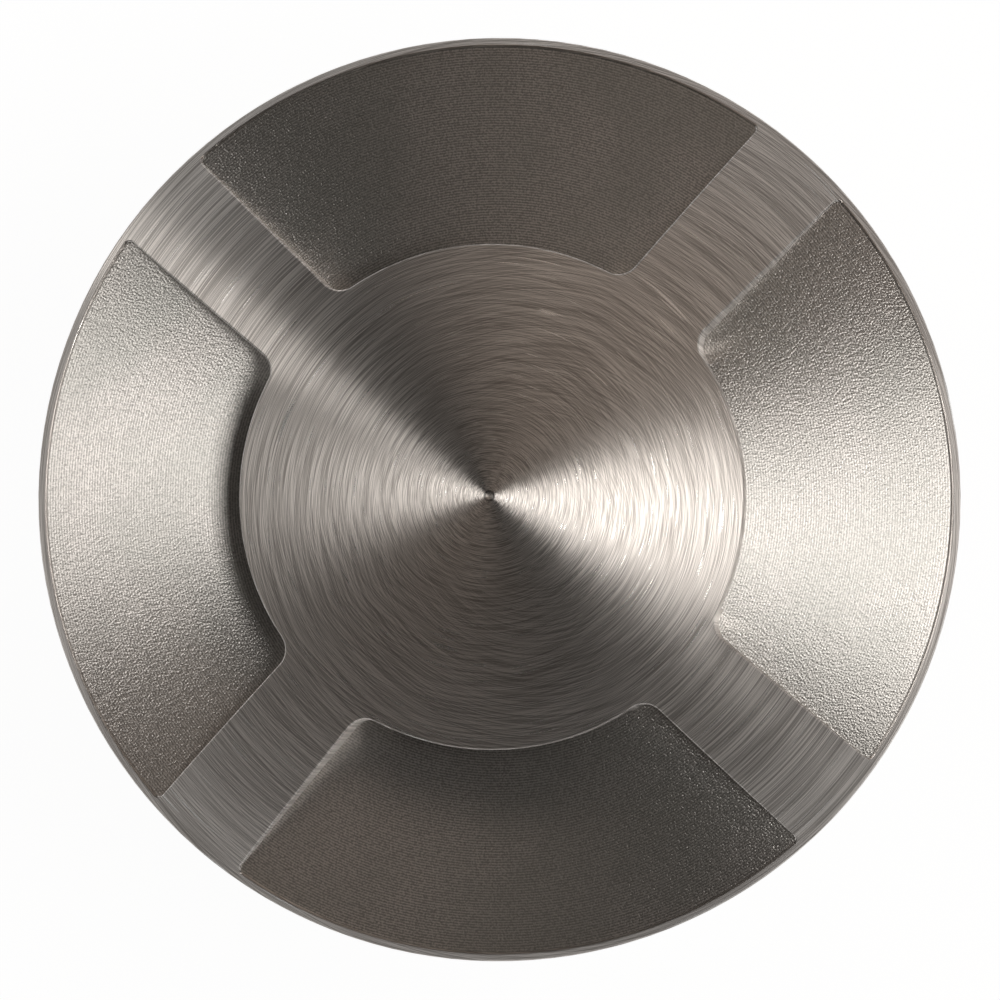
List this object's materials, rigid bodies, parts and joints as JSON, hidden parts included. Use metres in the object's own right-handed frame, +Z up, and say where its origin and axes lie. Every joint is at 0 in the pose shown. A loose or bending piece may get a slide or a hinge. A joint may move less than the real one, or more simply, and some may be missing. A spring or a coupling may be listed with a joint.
{
  "type": "in ground well light",
  "caption": "Round flush ground light: domed steel face with side windows between arms, lens cup and LED in a sealed housing that drops into a flanged ground sleeve.",
  "frame": {"origin": "on the fitting's axis at ground level, which is the underside of the sleeve's flange", "axes": "+Z straight up out of the ground; +X and +Y through the middles of two windows, so the arms lie on the diagonals"},
  "size_m": [0.06, 0.06, 0.0937],
  "materials": {
    "face_steel": "turned and brushed, blasted window floors",
    "screw_steel": "plain stainless",
    "sleeve_plastic": "moulded black, fine grain",
    "gasket_rubber": "matt black",
    "housing_anodised": "turned, black anodised",
    "o_ring_rubber": "satin black",
    "lens_glass": "clear, fire polished",
    "ring_aluminium": "turned",
    "cone_aluminium": "polished",
    "carrier_aluminium": "turned",
    "thermal_grey": "matt grey",
    "board_white": "white mask",
    "led_ceramic": "white ceramic",
    "led_phosphor": "yellow phosphor under clear silicone",
    "board_green": "green mask",
    "ferrite": "dark grey",
    "capacitor_sleeve": "black sleeve, bare top",
    "chip_black": "moulded",
    "resistor_black": "tinned ends",
    "terminal_green": "moulded",
    "wire_red": "smooth",
    "wire_black": "smooth",
    "standoff_brass": "plain",
    "gland_nickel": "nickel plated",
    "washer_fibre": "red fibre",
    "claw_nylon": "natural"
  },
  "bodies": {
    "sleeve": {"sleeve": "sleeve_plastic", "sleeve_base": "sleeve_plastic", "rim_gasket": "gasket_rubber"},
    "light": {"housing": "housing_anodised", "grip_o_rings": "o_ring_rubber", "face_o_ring": "o_ring_rubber", "lens": "lens_glass", "lens_gasket": "gasket_rubber", "lens_ring": "ring_aluminium", "reflector_cone": "cone_aluminium", "led_carrier": "carrier_aluminium", "carrier_screws": "screw_steel", "thermal_pad": "thermal_grey", "led_board": "board_white", "led_board_screws": "screw_steel", "led_base": "led_ceramic", "led_dome": "led_phosphor", "driver_board": "board_green", "driver_standoffs": "standoff_brass", "driver_screws": "screw_steel", "driver_inductor": "ferrite", "driver_capacitors": "capacitor_sleeve", "driver_chips": "chip_black", "driver_resistors": "resistor_black", "terminal_block": "terminal_green", "terminal_screws": "screw_steel", "lead_red": "wire_red", "lead_black": "wire_black", "end_cap": "housing_anodised", "end_cap_o_ring": "o_ring_rubber", "end_cap_screws": "screw_steel", "gland_washer": "washer_fibre", "gland_body": "gland_nickel", "gland_lock_nut": "gland_nickel", "gland_claw": "claw_nylon", "gland_seal": "o_ring_rubber"},
    "face": {"face_cover": "face_steel", "face_grub_screws": "screw_steel"},
    "gland_nut": {"gland_nut": "gland_nickel"}
  },
  "joints": [
    {"name": "light_lift", "type": "slide", "parent": "sleeve", "child": "light", "axis": [0, 0, 1], "range_m": [0, 0.075]},
    {"name": "face_lift", "type": "slide", "parent": "light", "child": "face", "axis": [0, 0, 1], "range_m": [0, 0.02]},
    {"name": "gland_nut_turn", "type": "hinge", "parent": "light", "child": "gland_nut", "pos_m": [0, 0, -0.061], "axis": [0, 0, 1], "continuous": true}
  ]
}
